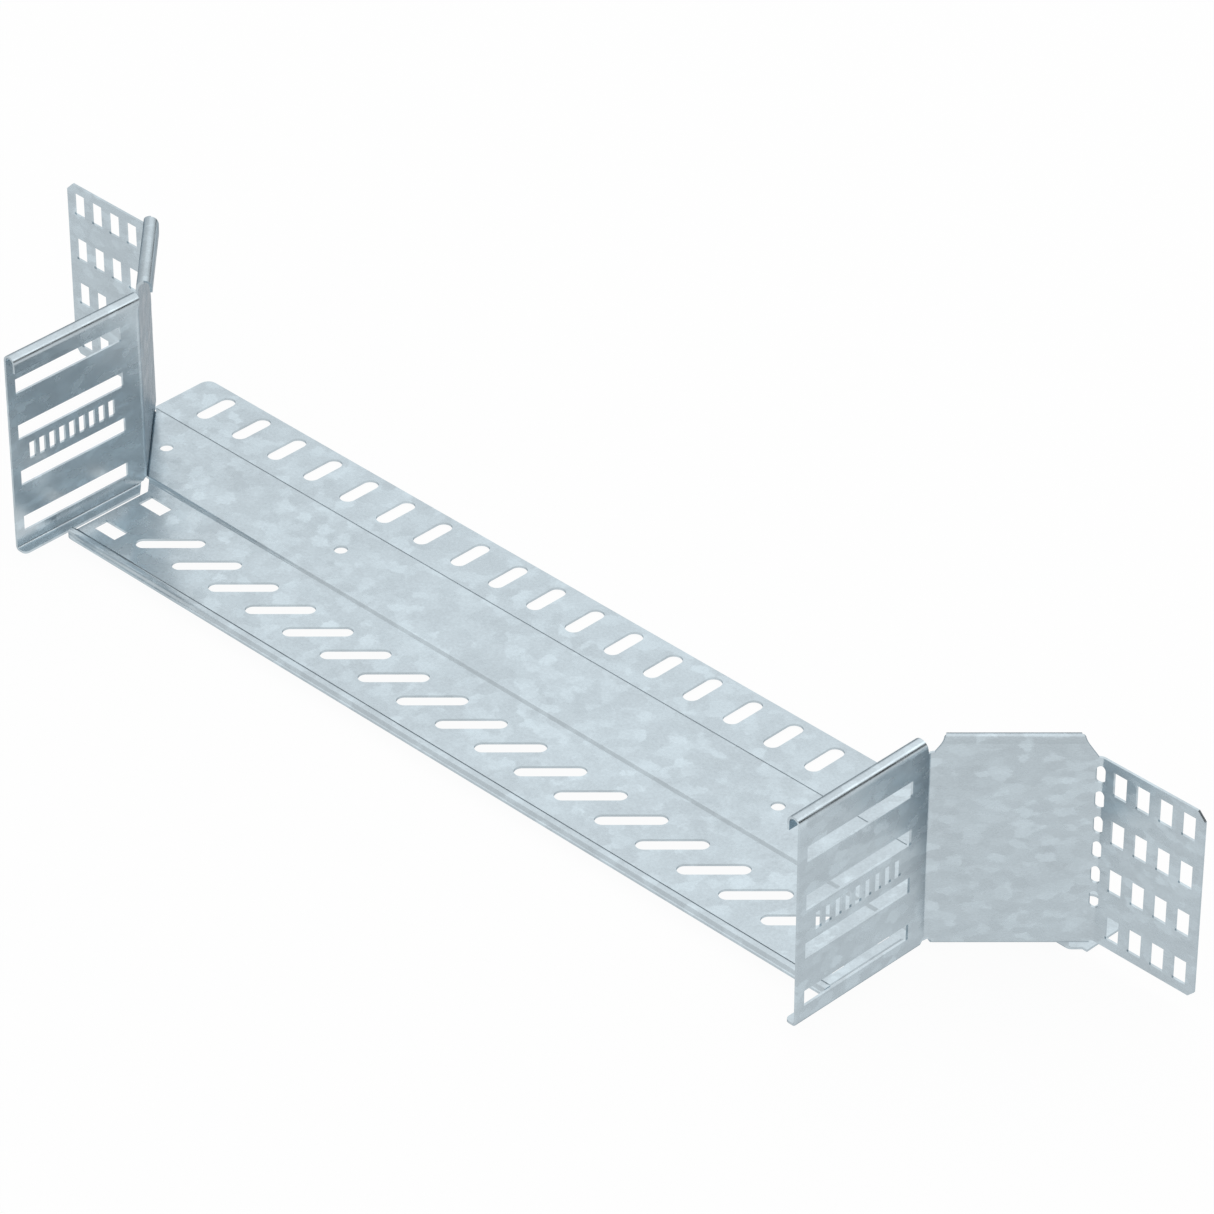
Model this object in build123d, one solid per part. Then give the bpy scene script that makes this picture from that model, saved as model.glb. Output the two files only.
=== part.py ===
from build123d import *
import os
from math import cos, radians, sin, tan

# Add-on branch tee for perforated cable tray, folded from three pieces of galvanised sheet.
# A floor plate carries the branch over the side of a main tray, and two mirrored corner
# brackets turn the branch walls outwards through 45 degrees to the wall of the main tray.
# X runs along the main tray, Y points from the branch to the main tray, and Z is up.
# The origin is the middle of the footprint at the underside of the back strip.

# Sheet and folds
sheet = 1.2
bend = 0.8  # inside radius of the sharp folds
corner_bend = 3.0  # inside radius of the upright 45 degree folds
turn = 45.0  # degrees that each upright fold turns

# Corner bracket
branch_width = 496.4  # over the outer faces of the two side panels
side_depth = 79.2  # front edge of the side panel to its fold
diagonal = 70.6  # length of the 45 degree panel, fold to fold
wing_width = 56.0  # fold to the outer edge of the wing
bracket_height = 107.4
side_foot = 6.5  # width of the foot under the side panel
diagonal_foot = 4.8  # width of the foot under the 45 degree panel
foot_corner = 2.5  # radius at the front corner of the side foot
hem_radius = 3.65  # outside radius of the rolled top hem
hem_reach = 7.9  # how far the hem's free edge comes down from the top
hem_gap_depth = 6.7  # top of the wall at the fold, below the top of the hem
wing_bottom = 2.1  # lower edge of the wing above the foot's underside
wing_drop = 9.4  # upper edge of the wing below the top of the hem
wing_slope_top = 8.3  # slope between hem and wing: its ends before the wing's fold
wing_slope_bottom = 1.2
hem_taper = 2.5  # how far the hem's free edge ends short of its top edge, at each end
side_hem_gap = 1.7  # side panel's fold to its hem, at the wall and at the top
side_hem_gap_top = 2.9
diagonal_hem_gap = 1.3  # first fold to the 45 degree panel's hem, at the wall and at the top
diagonal_hem_gap_top = 5.9
wing_top_chamfer = 4.0
wing_bottom_chamfer = 3.0

# Openings in the walls
row_height = 12.7  # first row above the underside of the foot
row_pitch = 25.0
side_slot_length = 63.5
side_slot_width = 8.0
side_slot_edge = 36.5  # front edge of the side panel to the middle of the slots
comb_slot_width = 3.65
comb_slot_height = 8.8
comb_pitch = 6.0
wing_hole_width = 7.2
wing_hole_height = 11.9
wing_hole_pitch = 12.41
wing_edge_distance = 8.4  # outer edge of the wing to the nearest column of holes
fold_hole_width = 4.2  # across the fold
fold_hole_height = 8.8
fold_hole_pitch = 13.04
fold_hole_count = 6
fold_hole_start = 24.1  # lowest fold hole above the underside of the foot

# Floor plate
strip_drop = 5.7  # raised floor above the back strip
strip_depth = 39.1  # back edge of the strip to the riser
strip_tail = 32.7  # how far the strip reaches behind the wing
strip_overhang = 2.6  # how far each end of the strip passes the slanted edge
strip_corner = 5.0
ear_setback = 4.1  # front edge of the strip's ends behind the riser
joggle_run = 0.9
joggle_ahead = 1.2  # middle of the floor joggle behind the corner of the bracket
floor_gap = 0.85  # raised floor to the inner face of the 45 degree panel
side_gap = 2.1  # low floor to the side foot
foot_clearance = 0.5  # riser and lip to the ends of the feet beside them
foot_trim = 1.6  # rear end of the side foot to the outer face of the 45 degree panel
lip_setback = 29.2  # front edge of the bracket to the joggle of the lip
lip_land = 3.2  # flat top of the raised bead
lip_foot = 1.2  # front edge in front of the bead
lip_corner = 5.0  # radius at the left end of the lip, the right end is square

# Openings in the floor plate
strip_slot_pitch = 25.0
strip_slot_length = 22.2
strip_slot_width = 8.2
strip_slot_edge = 14.8  # back edge of the strip to the middle of its slots
floor_slot_pitch = 25.0
floor_slot_length = 32.4
floor_slot_width = 7.5
floor_slot_edge = 23.2  # joggle of the lip to the middle of the slots
tab_hole_offset = 1.7  # middle of the pair of tab holes behind the middle of the slots
tab_hole_length = 14.8
tab_hole_width = 8.3
tab_hole_edge = 11.7  # side edge of the low floor to the middle of the hole
tab_hole_spread = 28.0
screw_hole = 6.5
screw_hole_edge = 20.5  # riser to the screw holes
screw_hole_inner = 139.35
screw_hole_outer = 260.0
relief_radius = 2.6

# The bracket foot lies in the plane of the low floor, and the raised floor rests on it.
foot_level = strip_drop - sheet
top = foot_level + bracket_height
half = sheet / 2
mid_bend = bend + half
slant = Vector(sin(radians(turn)), cos(radians(turn)))

# Stations along Y, from the front edge of the brackets to the back edge of the strip
depth = side_depth + diagonal * slant.Y + sheet + strip_tail
front = -depth / 2
back = depth / 2
corner = Vector(branch_width / 2, front + side_depth)
wing_corner = corner + slant * diagonal
fold_ease = corner_bend * tan(radians(turn / 2))
riser = back - strip_depth
lip_line = front + lip_setback
lip_front = lip_line - 2 * joggle_run - lip_land - lip_foot

# Widths of the floor plate, as half widths from the middle
edge_line = corner.X - (floor_gap + sheet) / cos(radians(turn)) - corner.Y
riser_bend = riser - sheet - bend
low_half_width = branch_width / 2 - side_foot - side_gap
lip_half_width = branch_width / 2 - side_foot - foot_clearance
neck_half_width = edge_line + riser + ear_setback
strip_half_width = neck_half_width + strip_overhang


def panel_frame(start, along):
    """Local frame of an upright panel: x along it, y up, z out of its outer face."""
    outward = Vector(along.Y, -along.X)
    return Plane(origin=start, x_dir=along, z_dir=outward).location


side_frame = panel_frame(Vector(corner.X, front), Vector(0, 1))
diagonal_frame = panel_frame(corner, slant)
wing_frame = panel_frame(wing_corner, Vector(1, 0))


def folded(path):
    """Section of a folded sheet whose middle line is path."""
    return trace(path, sheet)


def hemmed_section(foot):
    """Foot, wall and rolled hem of a panel, as (height, outward) points."""
    wall = -half
    roll = hem_radius - half
    spring = top - hem_radius
    inner = wall - 2 * roll
    upright = FilletPolyline(
        (foot_level + half, -foot), (foot_level + half, wall), (spring, wall), radius=mid_bend
    )
    arch = ThreePointArc((spring, wall), (top - half, wall - roll), (spring, inner))
    lip = Line((spring, inner), (top - hem_reach, inner))
    return Plane.YZ * folded(upright + arch + lip)


def wall_plan():
    """Plan of the whole bracket wall, with its two upright folds."""
    ease = half * tan(radians(turn / 2))
    points = [
        (corner.X - half, front),
        (corner.X - half, corner.Y + ease),
        (wing_corner.X - ease, wing_corner.Y + half),
        (wing_corner.X + wing_width, wing_corner.Y + half),
    ]
    return folded(FilletPolyline(*points, radius=corner_bend + half))


def through(sketch):
    """Cutter through a panel's sheet and fold, for a sketch drawn on its outer face."""
    return extrude(sketch, 4 * sheet, both=True)


def row_heights():
    """Heights of the rows of openings."""
    room = bracket_height - hem_reach - row_height - side_slot_width / 2
    count = int(room / row_pitch) + 1
    return [foot_level + row_height + row_pitch * i for i in range(count)]


def side_openings():
    """Long slots in rows, with a comb of short upright slots between the middle rows."""
    rows = row_heights()
    slot = Rectangle(side_slot_length, side_slot_width)
    tooth = Rectangle(comb_slot_width, comb_slot_height)
    comb_count = int(side_slot_length / comb_pitch - 1)
    comb_height = (rows[0] + rows[-1]) / 2
    slots = [Pos(side_slot_edge, height) * slot for height in rows]
    comb = Pos(side_slot_edge, comb_height) * GridLocations(comb_pitch, comb_pitch, comb_count, 1)
    teeth = [place * tooth for place in comb]
    return side_frame * through(Sketch() + slots + teeth)


def wing_openings():
    """Grid of upright oblong holes in the wing."""
    hole = Rectangle(wing_hole_width, wing_hole_height)
    columns = int((wing_width - wing_edge_distance - wing_hole_width / 2) / wing_hole_pitch) + 1
    last = wing_width - wing_edge_distance
    places = [Pos(last - wing_hole_pitch * i, height) for i in range(columns) for height in row_heights()]
    return wing_frame * through(Sketch() + [place * hole for place in places])


def fold_openings():
    """Holes along the wing's fold, which let it be bent further by hand."""
    hole = Rot(0, 0, 90) * SlotOverall(fold_hole_height, fold_hole_width)
    first = foot_level + fold_hole_start
    places = [Pos(0, first + fold_hole_pitch * i) for i in range(fold_hole_count)]
    return fold_frame(wing_corner, 1.5) * through(Sketch() + [place * hole for place in places])


def fold_frame(point, share):
    """Frame facing an upright fold squarely, where share counts the folds from the side panel."""
    direction = radians(turn * share)
    return panel_frame(point, Vector(sin(direction), cos(direction)))


def fold_relief():
    """Round relief at the lower end of the fold between the side and 45 degree panels."""
    hole = Pos(0, foot_level + half) * Circle(relief_radius)
    return fold_frame(corner, 0.5) * extrude(hole, side_foot + sheet, both=True)


def hem_end(wall_end, top_end, beyond):
    """Cutter for one end of a hem: slanted up the wall, and slanted back down the free edge.

    wall_end and top_end lie along the panel, and beyond is where the cutter's far side lies.
    """
    outward = 1 if beyond > wall_end else -1
    above = top + sheet
    below = top - hem_reach - sheet
    slant_back = outward * hem_taper / hem_reach
    outer = [
        (beyond, top - hem_gap_depth),
        (wall_end, top - hem_gap_depth),
        (top_end, top),
        (top_end, above),
        (beyond, above),
    ]
    inner = [
        (beyond, below),
        (top_end - slant_back * (top - below), below),
        (top_end, top),
        (top_end, above),
        (beyond, above),
    ]
    outer_half = extrude(make_face(Polyline(*outer, close=True)), hem_radius + sheet)
    inner_half = extrude(make_face(Polyline(*inner, close=True)), hem_radius + sheet)
    return Pos(0, 0, -hem_radius) * outer_half + Pos(0, 0, -2 * hem_radius - sheet) * inner_half


def side_panel():
    """Side panel with its foot and hem, up to the fold."""
    body = extrude(hemmed_section(side_foot), side_depth - fold_ease)
    edges = body.edges().filter_by(Axis.Y).sort_by(Axis.X)
    body = fillet(edges.group_by(Axis.X)[0].sort_by(Axis.Y)[0], foot_corner)
    body -= hem_end(side_depth - side_hem_gap, side_depth - side_hem_gap_top, side_depth)
    foot_zone = Box(side_depth, 2 * (sheet + bend), side_depth)
    behind = Pos(0, foot_level, foot_trim - side_depth / 2)
    return side_frame * body - diagonal_frame * behind * foot_zone


def diagonal_panel():
    """45 degree panel with its foot and hem, between the two folds."""
    body = Pos(fold_ease, 0, 0) * extrude(hemmed_section(diagonal_foot), diagonal - 2 * fold_ease)
    body -= hem_end(diagonal_hem_gap, diagonal_hem_gap_top, -fold_ease)
    body -= hem_end(diagonal - wing_slope_top, diagonal - wing_slope_top, diagonal)
    joggle_clear = (joggle_ahead + joggle_run / 2 + bend) / cos(radians(turn)) - floor_gap - sheet
    under_joggle = Box(2 * joggle_clear, 2 * sheet, diagonal_foot)
    body -= Pos(0, foot_level, -(sheet + bend + diagonal_foot / 2)) * under_joggle
    riser_clear = (riser_bend - foot_clearance - corner.Y) / cos(radians(turn))
    past = diagonal_foot + 2 * sheet
    points = [(riser_clear - sheet, -sheet), (riser_clear - past, -past), (diagonal, -past), (diagonal, -sheet)]
    beside_riser = Plane.XZ * make_face(Polyline(*points, close=True))
    body -= Pos(0, foot_level, 0) * extrude(beside_riser, 2 * sheet, both=True)
    return diagonal_frame * body


def wing_corners():
    """Cutters for the two outer corners of the wing."""
    bottom = foot_level + wing_bottom
    peak = top - wing_drop
    upper = [(0, 0), (-wing_top_chamfer, 0), (0, -wing_top_chamfer)]
    lower = [(0, 0), (-wing_bottom_chamfer, 0), (0, wing_bottom_chamfer)]
    cuts = [
        Pos(wing_width, peak) * make_face(Polyline(*upper, close=True)),
        Pos(wing_width, bottom) * make_face(Polyline(*lower, close=True)),
    ]
    return wing_frame * through(Sketch() + cuts)


def wing_slope():
    """Cutter that slopes the top of the 45 degree panel down to the wing and trims the wing."""
    above = top + sheet
    points = [
        (diagonal - wing_slope_top, above),
        (diagonal - wing_slope_bottom, top - wing_drop),
        (diagonal + wing_width, top - wing_drop),
        (diagonal + wing_width, above),
    ]
    return diagonal_frame * extrude(make_face(Polyline(*points, close=True)), 2 * wing_width, both=True)


def corner_bracket():
    """Right-hand corner bracket: side panel, 45 degree panel and wing in one sheet."""
    wall_foot = foot_level + wing_bottom
    wall = Pos(0, 0, wall_foot) * extrude(wall_plan(), top - hem_gap_depth - wall_foot)
    body = wall + side_panel() + diagonal_panel()
    body -= wing_slope() + wing_corners() + fold_relief()
    return body - side_openings() - wing_openings() - fold_openings()


def floor_section():
    """Section across the floor plate, from the back strip to the front lip."""
    raised = strip_drop + half
    low = raised - sheet
    joggle = corner.Y + joggle_ahead
    points = [
        (back, half),
        (riser - half, half),
        (riser - half, raised),
        (joggle + joggle_run / 2, raised),
        (joggle - joggle_run / 2, low),
        (lip_line, low),
        (lip_line - joggle_run, raised),
        (lip_line - joggle_run - lip_land, raised),
        (lip_front + lip_foot, low),
        (lip_front, low),
    ]
    return Plane.YZ * folded(FilletPolyline(*points, radius=mid_bend))


def floor_outline():
    """Plan outline that trims the folded floor plate."""
    lip_back = lip_line - joggle_run
    points = [
        (strip_half_width, back),
        (strip_half_width, riser + ear_setback),
        (neck_half_width, riser + ear_setback),
        (low_half_width, low_half_width - edge_line),
        (low_half_width, lip_back),
        (lip_half_width, lip_back),
        (lip_half_width, lip_front),
    ]
    outline = make_face(Polyline(*points, *[(-x, y) for x, y in reversed(points)], close=True))
    front_left = outline.vertices().sort_by(Axis.Y)[:2].sort_by(Axis.X)[0]
    outline = fillet(front_left, lip_corner)
    return fillet(outline.vertices().sort_by(Axis.Y)[-2:], strip_corner)


def centred_row(pitch, half_length):
    """Positions of a row of openings about the middle, as many as fit in half_length."""
    count = 2 * int(half_length / pitch) + 1
    return [pitch * (i - count // 2) for i in range(count)]


def floor_openings():
    """Slots, tab holes and screw holes of the floor plate, in plan."""
    strip_slot = Rot(0, 0, 90) * SlotOverall(strip_slot_length, strip_slot_width)
    floor_slot = Rot(0, 0, 45) * SlotOverall(floor_slot_length, floor_slot_width)
    tab_hole = Rectangle(tab_hole_length, tab_hole_width)
    tab_x = low_half_width - tab_hole_edge
    screw_y = riser - screw_hole_edge
    slot_y = lip_line + floor_slot_edge
    tab_y = slot_y + tab_hole_offset
    strip_room = strip_half_width - strip_corner - strip_slot_width
    floor_room = tab_x - tab_hole_length / 2 - floor_slot_length / 4
    cuts = [Pos(x, back - strip_slot_edge) * strip_slot for x in centred_row(strip_slot_pitch, strip_room)]
    cuts += [Pos(x, slot_y) * floor_slot for x in centred_row(floor_slot_pitch, floor_room)]
    for side in (-1, 1):
        for end in (-1, 1):
            cuts.append(Pos(side * tab_x, tab_y + end * tab_hole_spread / 2) * tab_hole)
        cuts += [Pos(side * x, screw_y) * Circle(screw_hole / 2) for x in (screw_hole_inner, screw_hole_outer)]
    return Sketch() + cuts


def floor_plate():
    """Floor plate."""
    body = extrude(floor_section(), strip_half_width, both=True)
    height = 2 * bracket_height
    trimmed = body & extrude(floor_outline(), height, both=True)
    return trimmed - extrude(floor_openings(), height, both=True)


def main():
    os.makedirs("parts", exist_ok=True)
    right = corner_bracket()
    export_step(right, "parts/right_corner_bracket.step")
    export_step(mirror(right, Plane.YZ), "parts/left_corner_bracket.step")
    export_step(floor_plate(), "parts/floor_plate.step")


main()
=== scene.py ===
import math

import bpy
import numpy as np
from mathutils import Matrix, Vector


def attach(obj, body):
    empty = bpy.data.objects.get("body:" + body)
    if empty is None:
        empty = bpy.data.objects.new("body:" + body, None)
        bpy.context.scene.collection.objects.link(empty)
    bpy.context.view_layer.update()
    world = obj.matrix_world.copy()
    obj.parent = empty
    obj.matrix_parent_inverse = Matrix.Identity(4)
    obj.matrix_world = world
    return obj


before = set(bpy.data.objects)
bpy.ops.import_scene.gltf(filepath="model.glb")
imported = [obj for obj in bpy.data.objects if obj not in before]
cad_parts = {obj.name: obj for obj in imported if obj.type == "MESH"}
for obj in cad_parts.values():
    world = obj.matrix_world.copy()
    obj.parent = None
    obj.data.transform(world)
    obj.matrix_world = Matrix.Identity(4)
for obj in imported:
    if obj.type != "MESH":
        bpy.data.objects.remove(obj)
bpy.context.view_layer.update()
print("frame loaded")

perMetre = 1000.0  # mm in a metre


def linearColour(hexValue):
    srgb = np.array([int(hexValue[i:i + 2], 16) for i in (1, 3, 5)]) / 255
    linear = np.where(srgb <= 0.04045, srgb / 12.92, ((srgb + 0.055) / 1.055) ** 2.4)
    return (*linear.tolist(), 1.0)


def newMaterial(name):
    material = bpy.data.materials.new(name)
    material.use_nodes = True
    material.node_tree.nodes.clear()
    return material


# Adds one node: settings are its own properties or its sockets' values, links say what feeds each socket
def addNode(material, kind, settings=None, links=None):
    node = material.node_tree.nodes.new(kind)
    for name, value in (settings or {}).items():
        if isinstance(name, str) and hasattr(node, name):
            setattr(node, name, value)
        else:
            node.inputs[name].default_value = value
    for name, source in (links or {}).items():
        material.node_tree.links.new(source, node.inputs[name])
    return node


def showShader(material, shader):
    addNode(material, "ShaderNodeOutputMaterial", {}, {"Surface": shader})


# Hot-dip galvanised sheet: zinc freezes in flat crystals, each of which shines a little differently
galvanised = {
    "lightCrystal": "#CCD9E0",
    "darkCrystal": "#B1BBC1",
    "crystalSize": 7.0,  # mm across
    "fewBright": 2.0,  # the higher, the fewer crystals stand out as bright
    "crystalBlend": 0.45,  # softness of the borders
    "borderSize": 3.5,  # mm, the borders' own steps
    "borderWander": 6.0,  # mm, how far the borders wander
    "upright": 1.7,  # how much shorter the crystals are in height than along the sheet
    "grainSize": 1.3,  # mm, fine mottling
    "grainFlat": 2.5,  # how much flatter still the mottling is on upright sheet
    "cloudSize": 24.0,  # mm, slow change of tone from the zinc bath
    "detail": 3.0,  # how many finer steps each noise has
    "fineShare": 0.6,  # strength of each finer step in the borders and the mottling
    "crystalShare": 0.25,  # crystals against mottling and clouds
    "grainShare": 0.60,  # mottling against clouds
    "toneRange": (0.205, 0.695),  # where the mixed patterns reach the dark and the light colour
    "edgeTint": "#A8B0B6",  # the oxide film dulls what a glancing eye sees mirrored
    "roughness": 0.24,
    "roughnessSpread": 0.12,
    "relief": 0.006,  # mm
}


def galvanisedSheet():
    made = newMaterial("galvanisedSheet")
    coordinates = addNode(made, "ShaderNodeTexCoord").outputs["Object"]
    place = addNode(
        made, "ShaderNodeMapping", {"Scale": (1.0, 1.0, galvanised["upright"])}, {"Vector": coordinates}
    ).outputs["Vector"]
    wander = addNode(
        made, "ShaderNodeTexNoise",
        {"Scale": perMetre / galvanised["borderSize"], "Detail": galvanised["detail"],
         "Roughness": galvanised["fineShare"]},
        {"Vector": place},
    )
    shifted = addNode(
        made, "ShaderNodeVectorMath",
        {"operation": "MULTIPLY_ADD", 1: [galvanised["borderWander"] / perMetre] * 3},
        {0: wander.outputs["Color"], 2: place},
    )
    crystals = addNode(
        made, "ShaderNodeTexVoronoi",
        {"feature": "SMOOTH_F1", "Smoothness": galvanised["crystalBlend"],
         "Scale": perMetre / galvanised["crystalSize"]},
        {"Vector": shifted.outputs["Vector"]},
    )
    shade = addNode(made, "ShaderNodeSeparateColor", {}, {"Color": crystals.outputs["Color"]})
    bright = addNode(
        made, "ShaderNodeMath", {"operation": "POWER", 1: galvanised["fewBright"]}, {0: shade.outputs["Red"]}
    )
    flattened = addNode(
        made, "ShaderNodeMapping", {"Scale": (1.0, 1.0, galvanised["grainFlat"])}, {"Vector": place}
    )
    grain = addNode(
        made, "ShaderNodeTexNoise",
        {"Scale": perMetre / galvanised["grainSize"], "Detail": galvanised["detail"],
         "Roughness": galvanised["fineShare"]},
        {"Vector": flattened.outputs["Vector"]},
    )
    cloud = addNode(
        made, "ShaderNodeTexNoise",
        {"Scale": perMetre / galvanised["cloudSize"], "Detail": galvanised["detail"]},
        {"Vector": place},
    )
    mottled = addNode(
        made, "ShaderNodeMix", {0: galvanised["grainShare"]},
        {2: cloud.outputs["Fac"], 3: grain.outputs["Fac"]},
    )
    tone = addNode(
        made, "ShaderNodeMix", {0: galvanised["crystalShare"]},
        {2: mottled.outputs[0], 3: bright.outputs["Value"]},
    )
    spread = addNode(
        made, "ShaderNodeMapRange",
        {"From Min": galvanised["toneRange"][0], "From Max": galvanised["toneRange"][1]},
        {"Value": tone.outputs[0]},
    )
    colour = addNode(
        made, "ShaderNodeMix",
        {"data_type": "RGBA", 6: linearColour(galvanised["darkCrystal"]),
         7: linearColour(galvanised["lightCrystal"])},
        {0: spread.outputs["Result"]},
    )
    gloss = addNode(
        made, "ShaderNodeMapRange",
        {"To Min": galvanised["roughness"] - galvanised["roughnessSpread"] / 2,
         "To Max": galvanised["roughness"] + galvanised["roughnessSpread"] / 2},
        {"Value": shade.outputs["Green"]},
    )
    relief = addNode(
        made, "ShaderNodeBump", {"Distance": galvanised["relief"] / perMetre},
        {"Height": wander.outputs["Fac"]},
    )
    surface = addNode(
        made, "ShaderNodeBsdfPrincipled",
        {"Metallic": 1.0, "Specular Tint": linearColour(galvanised["edgeTint"])},
        {"Base Color": colour.outputs[2], "Roughness": gloss.outputs["Result"],
         "Normal": relief.outputs["Normal"]},
    )
    showShader(made, surface.outputs["BSDF"])
    return made


sheetMetal = galvanisedSheet()
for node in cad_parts.values():
    for slot in node.material_slots:
        slot.material = sheetMetal
print("galvanised sheet on", len(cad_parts), "folded pieces")

# The sloped corner of each rolled hem beside the wing, which the solids lack: mm, right-hand side
hemCorner = {
    "foldAt": (248.2, -2.3109),  # outer corner between the side and 45 degree panels
    "start": 62.3,  # along the 45 degree panel, where the solid's hem ends
    "bottom": 105.2,  # the solid's wall reaches up to here beyond its hem
    "top": 111.9,
    "radius": 3.65,
    "sheet": 1.2,
    "slopeFrom": (62.3, 113.1),  # (along the panel, height) of two points on the sloped edge
    "slopeTo": (69.4, 102.5),
    "steps": 10,
    "smoothAngle": 40.0,  # degrees
}


# Outer and inner point of the sheet, as (inward, height), from the wall's edge up to the top of the roll
def hemSection():
    size = hemCorner
    spring = size["top"] - size["radius"]
    section = [[(inward, size["bottom"]) for inward in (0.0, size["sheet"])]]
    for angle in np.linspace(0, math.pi / 2, size["steps"]):
        section.append([
            (size["radius"] - reach * math.cos(angle), spring + reach * math.sin(angle))
            for reach in (size["radius"], size["radius"] - size["sheet"])
        ])
    return section


def slopeAt(height):
    (highAlong, highest), (lowAlong, lowest) = hemCorner["slopeFrom"], hemCorner["slopeTo"]
    return highAlong + (highest - height) / (highest - lowest) * (lowAlong - highAlong)


def panelPoint(side, along, inward, height):
    x = hemCorner["foldAt"][0] + (along - inward) * math.sqrt(0.5)
    y = hemCorner["foldAt"][1] + (along + inward) * math.sqrt(0.5)
    return (side * x / perMetre, y / perMetre, height / perMetre)


def hemCornerMesh(side):
    corners = []
    for outer, inner in hemSection():
        corners += [
            panelPoint(side, hemCorner["start"], *outer),
            panelPoint(side, slopeAt(outer[1]), *outer),
            panelPoint(side, slopeAt(inner[1]), *inner),
            panelPoint(side, hemCorner["start"], *inner),
        ]
    last = len(corners) - 4
    faces = [(0, 1, 2, 3), (last + 3, last + 2, last + 1, last)]
    for first in range(0, last, 4):
        faces += [(first + i, first + 4 + i, first + 4 + (i + 1) % 4, first + (i + 1) % 4) for i in range(4)]
    if side < 0:
        faces = [face[::-1] for face in faces]
    mesh = bpy.data.meshes.new("hemCorner")
    mesh.from_pydata(corners, [], faces)
    mesh.shade_smooth()
    mesh.set_sharp_from_angle(angle=math.radians(hemCorner["smoothAngle"]))
    return mesh


for name, side in (("rightHemCorner", 1), ("leftHemCorner", -1)):
    piece = bpy.data.objects.new(name, hemCornerMesh(side))
    piece.data.materials.append(sheetMetal)
    bpy.context.scene.collection.objects.link(piece)
    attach(piece, "root")
print("hem corners added")

# Studio: white ground and pale walls, a wide softbox overhead and behind, grey boards low behind the part
studio = {
    "groundColour": "#F2F2F2",
    "groundSize": 12.0,
    "groundDrop": 0.0005,  # keeps the ground clear of the sheet that rests on it
    "shownWhite": 0.95,  # share of plain white that the camera sees, the rest keeps the shadow
    "mirroredWhite": 0.85,  # the same share where the sheet mirrors the ground
    "wallColour": "#FFFFFF",
    "wallStrength": 0.88,
    "lamps": {
        "softbox": {"at": (-0.6, 2.2, 2.0), "aim": (-0.6, 2.2, 0.0), "size": (5.0, 3.6), "power": 17.3},
        "strip": {"at": (1.0, 1.45, 1.75), "aim": (0.0, 0.0, 0.0), "size": (1.3, 0.5), "power": 1.2},
    },
    "boards": {
        "rightBoard": {"at": (2.3, 1.9, 1.32), "size": (2.0, 1.1), "colour": "#5A5A5A"},
        "leftBoard": {"at": (-1.7, 2.4, 0.35), "size": (3.4, 0.6), "colour": "#A6A6A6"},
    },
}
cornerSigns = ((-1, -1), (1, -1), (1, 1), (-1, 1))


def mattShader(material, hexValue):
    return addNode(material, "ShaderNodeBsdfDiffuse", {"Color": linearColour(hexValue)}).outputs["BSDF"]


def flatPiece(name, corners, material):
    mesh = bpy.data.meshes.new(name)
    mesh.from_pydata([tuple(corner) for corner in corners], [], [(0, 1, 2, 3)])
    mesh.materials.append(material)
    piece = bpy.data.objects.new(name, mesh)
    bpy.context.scene.collection.objects.link(piece)
    return piece


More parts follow.
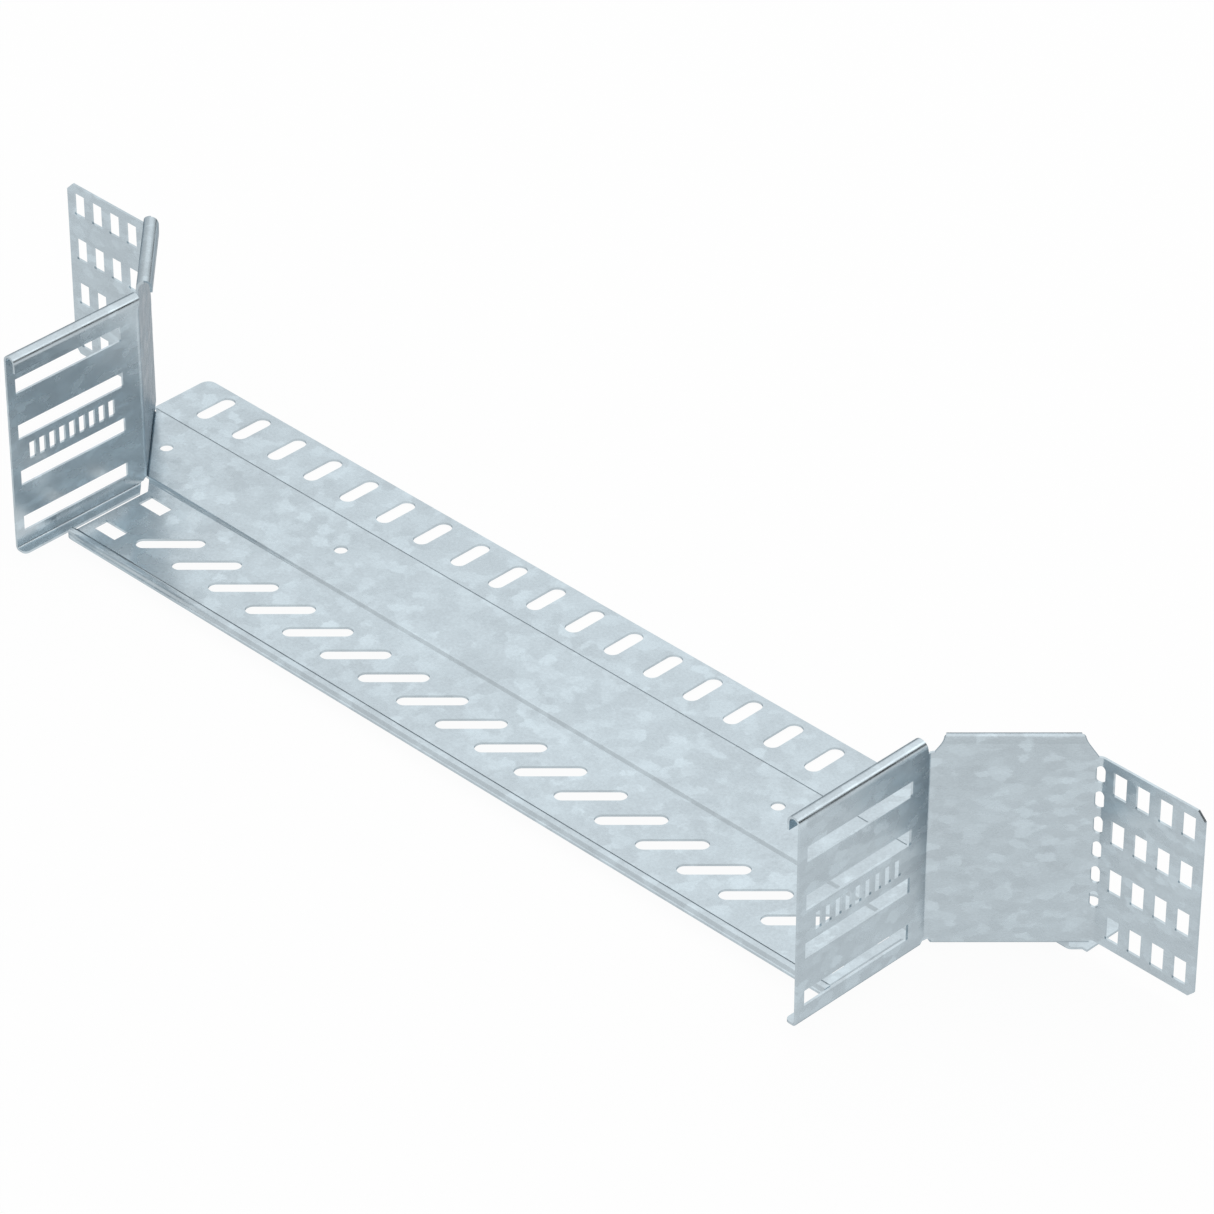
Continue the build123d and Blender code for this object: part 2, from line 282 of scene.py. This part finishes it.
def ground():
    made = newMaterial("whiteGround")
    path = addNode(made, "ShaderNodeLightPath")
    shown = addNode(
        made, "ShaderNodeMath", {"operation": "MULTIPLY", 1: studio["shownWhite"]},
        {0: path.outputs["Is Camera Ray"]},
    )
    share = addNode(
        made, "ShaderNodeMath", {"operation": "MULTIPLY_ADD", 1: studio["mirroredWhite"]},
        {0: path.outputs["Is Glossy Ray"], 2: shown.outputs["Value"]},
    )
    matt = mattShader(made, studio["groundColour"])
    white = addNode(made, "ShaderNodeEmission")
    both = addNode(
        made, "ShaderNodeMixShader", {},
        {0: share.outputs["Value"], 1: matt, 2: white.outputs["Emission"]},
    )
    showShader(made, both.outputs["Shader"])
    half = studio["groundSize"] / 2
    flatPiece("ground", [(x * half, y * half, -studio["groundDrop"]) for x, y in cornerSigns], made)


def boards():
    for name, board in studio["boards"].items():
        made = newMaterial(name)
        showShader(made, mattShader(made, board["colour"]))
        centre = Vector(board["at"])
        across = Vector((0, 0, 1)).cross(centre).normalized() * board["size"][0] / 2
        up = centre.cross(across).normalized() * board["size"][1] / 2
        corners = [centre + x * across + y * up for x, y in cornerSigns]
        flatPiece(name, corners, made).visible_camera = False


def walls():
    world = bpy.data.worlds.new("walls")
    world.use_nodes = True
    background = world.node_tree.nodes["Background"]
    background.inputs["Color"].default_value = linearColour(studio["wallColour"])
    background.inputs["Strength"].default_value = studio["wallStrength"]
    bpy.context.scene.world = world


def lamps():
    for name, lamp in studio["lamps"].items():
        light = bpy.data.lights.new(name, "AREA")
        light.shape = "RECTANGLE"
        light.size, light.size_y = lamp["size"]
        light.energy = lamp["power"]
        holder = bpy.data.objects.new(name, light)
        holder.location = lamp["at"]
        aim = Vector(lamp["aim"]) - holder.location
        holder.rotation_euler = aim.to_track_quat("-Z", "Y").to_euler()
        holder.visible_camera = False
        bpy.context.scene.collection.objects.link(holder)


# Camera placed where a fit of the photographed edges puts it
view = {
    "at": (1.6099, -1.55665, 1.6256),
    "towards": (-0.57832, 0.57934, -0.57439),
    "lens": 183.6,  # mm
    "sensor": 36.0,  # mm
    "near": 0.05,
    "far": 60.0,
}


def camera():
    lens = bpy.data.cameras.new("camera")
    lens.lens = view["lens"]
    lens.sensor_width = view["sensor"]
    lens.clip_start = view["near"]
    lens.clip_end = view["far"]
    holder = bpy.data.objects.new("camera", lens)
    holder.location = view["at"]
    holder.rotation_euler = Vector(view["towards"]).to_track_quat("-Z", "Y").to_euler()
    bpy.context.scene.collection.objects.link(holder)
    bpy.context.scene.camera = holder


ground()
boards()
walls()
lamps()
camera()
bpy.context.scene.view_settings.view_transform = "Standard"
print("studio and camera ready")
